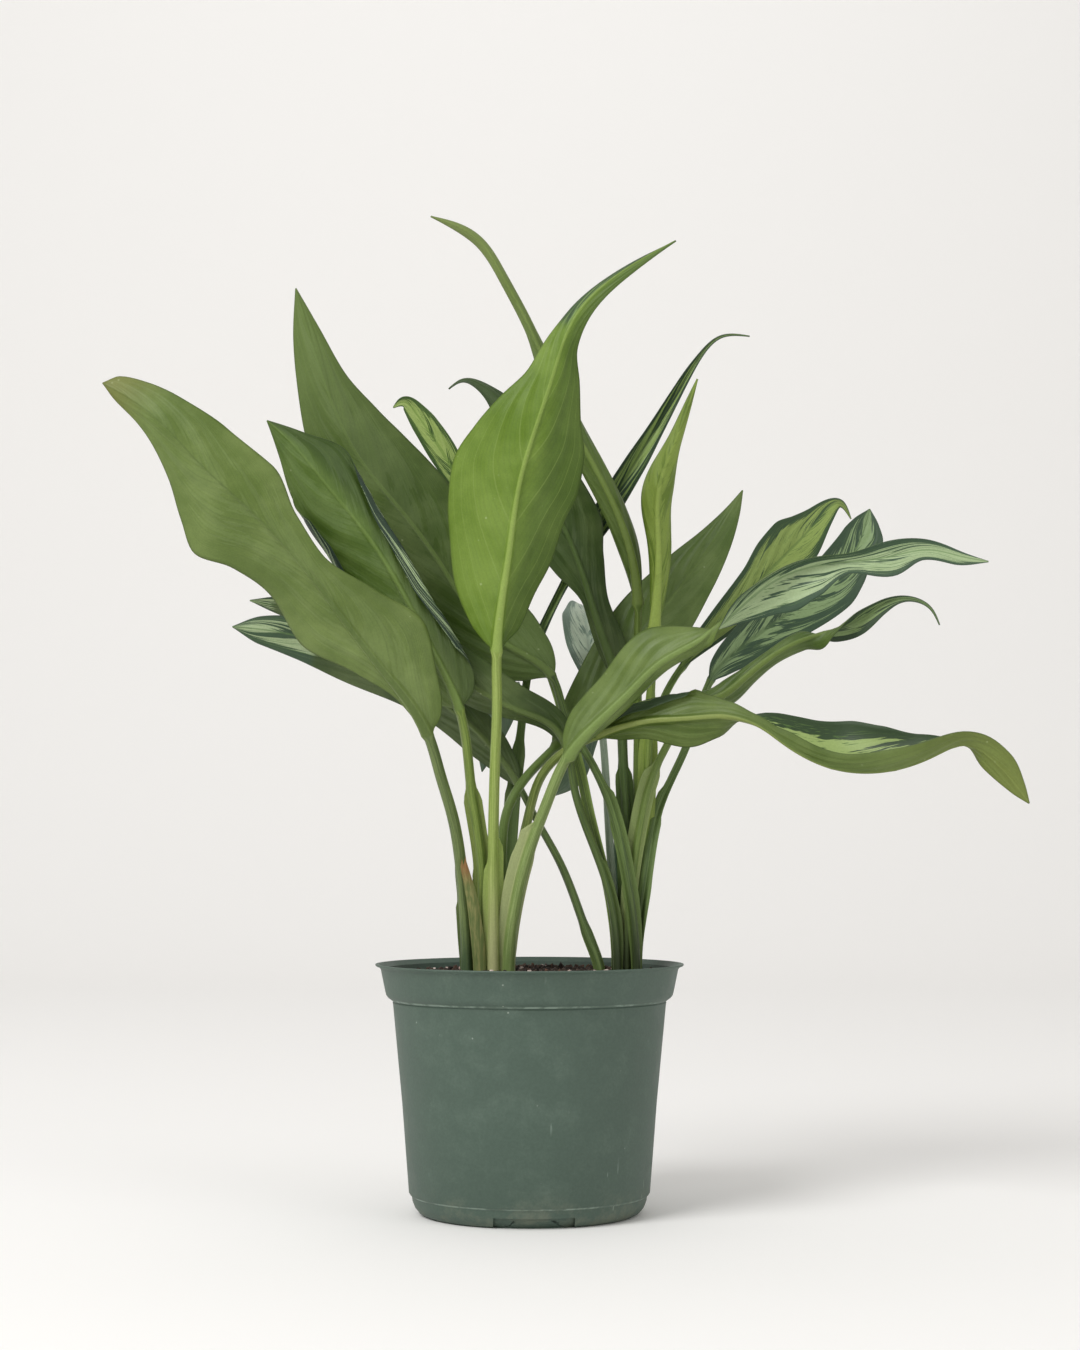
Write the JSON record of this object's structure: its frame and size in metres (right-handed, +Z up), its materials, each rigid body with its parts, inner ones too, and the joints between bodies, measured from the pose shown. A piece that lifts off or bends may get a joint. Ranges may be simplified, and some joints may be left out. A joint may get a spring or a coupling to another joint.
{
  "type": "potted chinese evergreen",
  "caption": "Foliage plant with broad pointed leaves on long stalks, standing in soil in a tapered round nursery pot.",
  "frame": {"origin": "middle of the pot's base, on the surface it stands on", "axes": "+Z up, -Y towards the viewer of the picture, +X to the right in the picture"},
  "size_m": [0.4458, 0.2153, 0.5057],
  "materials": {
    "pot": "matt moulded plastic, a little dusty",
    "soil": "rough crumbs of peat and bark",
    "cane_left": "dull plant stem",
    "cane_right": "dull plant stem",
    "old_sheath": "dry papery sheath",
    "leaf_far_left": "living leaf, satin",
    "leaf_tall_left": "living leaf, satin",
    "leaf_curled_left": "living leaf, satin",
    "leaf_hidden_left": "living leaf, satin",
    "leaf_low_left": "living leaf, satin",
    "leaf_centre": "living leaf, satin",
    "leaf_top_thin": "living leaf, satin",
    "leaf_hooked": "living leaf, satin",
    "leaf_small_mottled": "living leaf, satin",
    "leaf_new_rolled": "living leaf, satin",
    "leaf_narrow_dark": "living leaf, satin",
    "leaf_right_twisted": "living leaf, satin",
    "leaf_back_right_light": "living leaf, satin",
    "leaf_back_right_dark": "living leaf, satin",
    "leaf_right_long_tip": "living leaf, satin",
    "leaf_low_right": "living leaf, satin",
    "leaf_mid_green": "living leaf, satin",
    "leaf_back_silver": "living leaf, satin",
    "leaf_back_drooping": "living leaf, satin",
    "leaf_back_left": "living leaf, satin"
  },
  "bodies": {
    "root": {"pot": "pot", "soil": "soil", "cane_left": "cane_left", "cane_right": "cane_right", "old_sheath": "old_sheath", "leaf_far_left": "leaf_far_left", "leaf_tall_left": "leaf_tall_left", "leaf_curled_left": "leaf_curled_left", "leaf_hidden_left": "leaf_hidden_left", "leaf_low_left": "leaf_low_left", "leaf_centre": "leaf_centre", "leaf_top_thin": "leaf_top_thin", "leaf_hooked": "leaf_hooked", "leaf_small_mottled": "leaf_small_mottled", "leaf_new_rolled": "leaf_new_rolled", "leaf_narrow_dark": "leaf_narrow_dark", "leaf_right_twisted": "leaf_right_twisted", "leaf_back_right_light": "leaf_back_right_light", "leaf_back_right_dark": "leaf_back_right_dark", "leaf_right_long_tip": "leaf_right_long_tip", "leaf_low_right": "leaf_low_right", "leaf_mid_green": "leaf_mid_green", "leaf_back_silver": "leaf_back_silver", "leaf_back_drooping": "leaf_back_drooping", "leaf_back_left": "leaf_back_left"}
  },
  "joints": []
}
